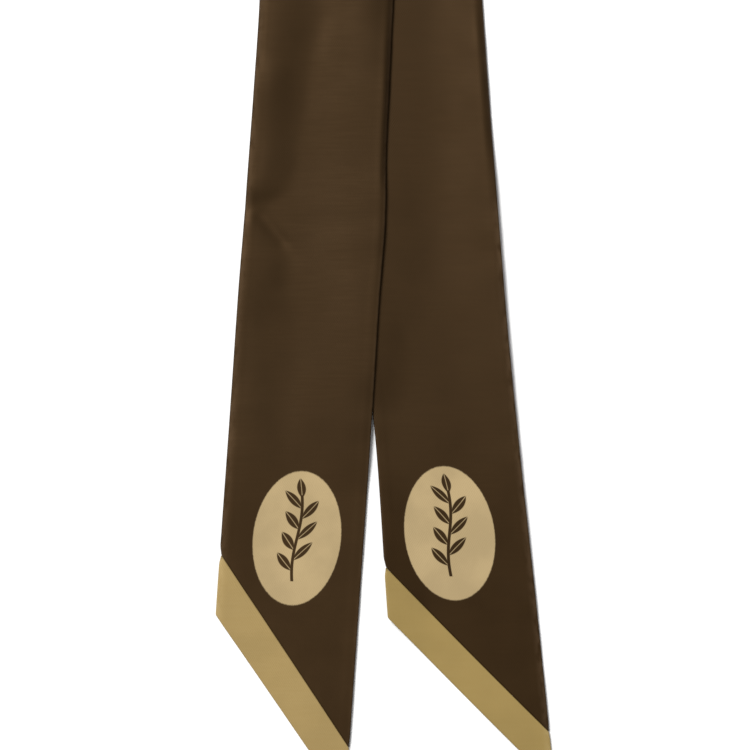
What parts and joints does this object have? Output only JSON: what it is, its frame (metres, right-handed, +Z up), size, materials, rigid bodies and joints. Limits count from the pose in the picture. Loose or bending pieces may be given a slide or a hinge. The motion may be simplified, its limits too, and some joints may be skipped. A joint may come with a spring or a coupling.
{
  "type": "narrow neck scarf",
  "caption": "Long narrow satin neck scarf with slanted contrasting end bands, folded across its middle and laid flat with the tails fanned apart.",
  "frame": {"origin": "centre of the folded scarf's outline, on the surface that it lies on", "axes": "+X across the scarf to the right as seen from above with the fold at the top, +Y along it toward the fold, +Z up from the surface"},
  "size_m": [0.1181, 0.5349, 0.0066],
  "materials": {
    "brown_satin": "soft satin with a fine twill and a pale plain print near each end",
    "tan_satin": "soft satin with a fine twill"
  },
  "bodies": {
    "root": {"scarf_strip": "brown_satin", "left_end_band": "tan_satin", "right_end_band": "tan_satin"}
  },
  "joints": []
}
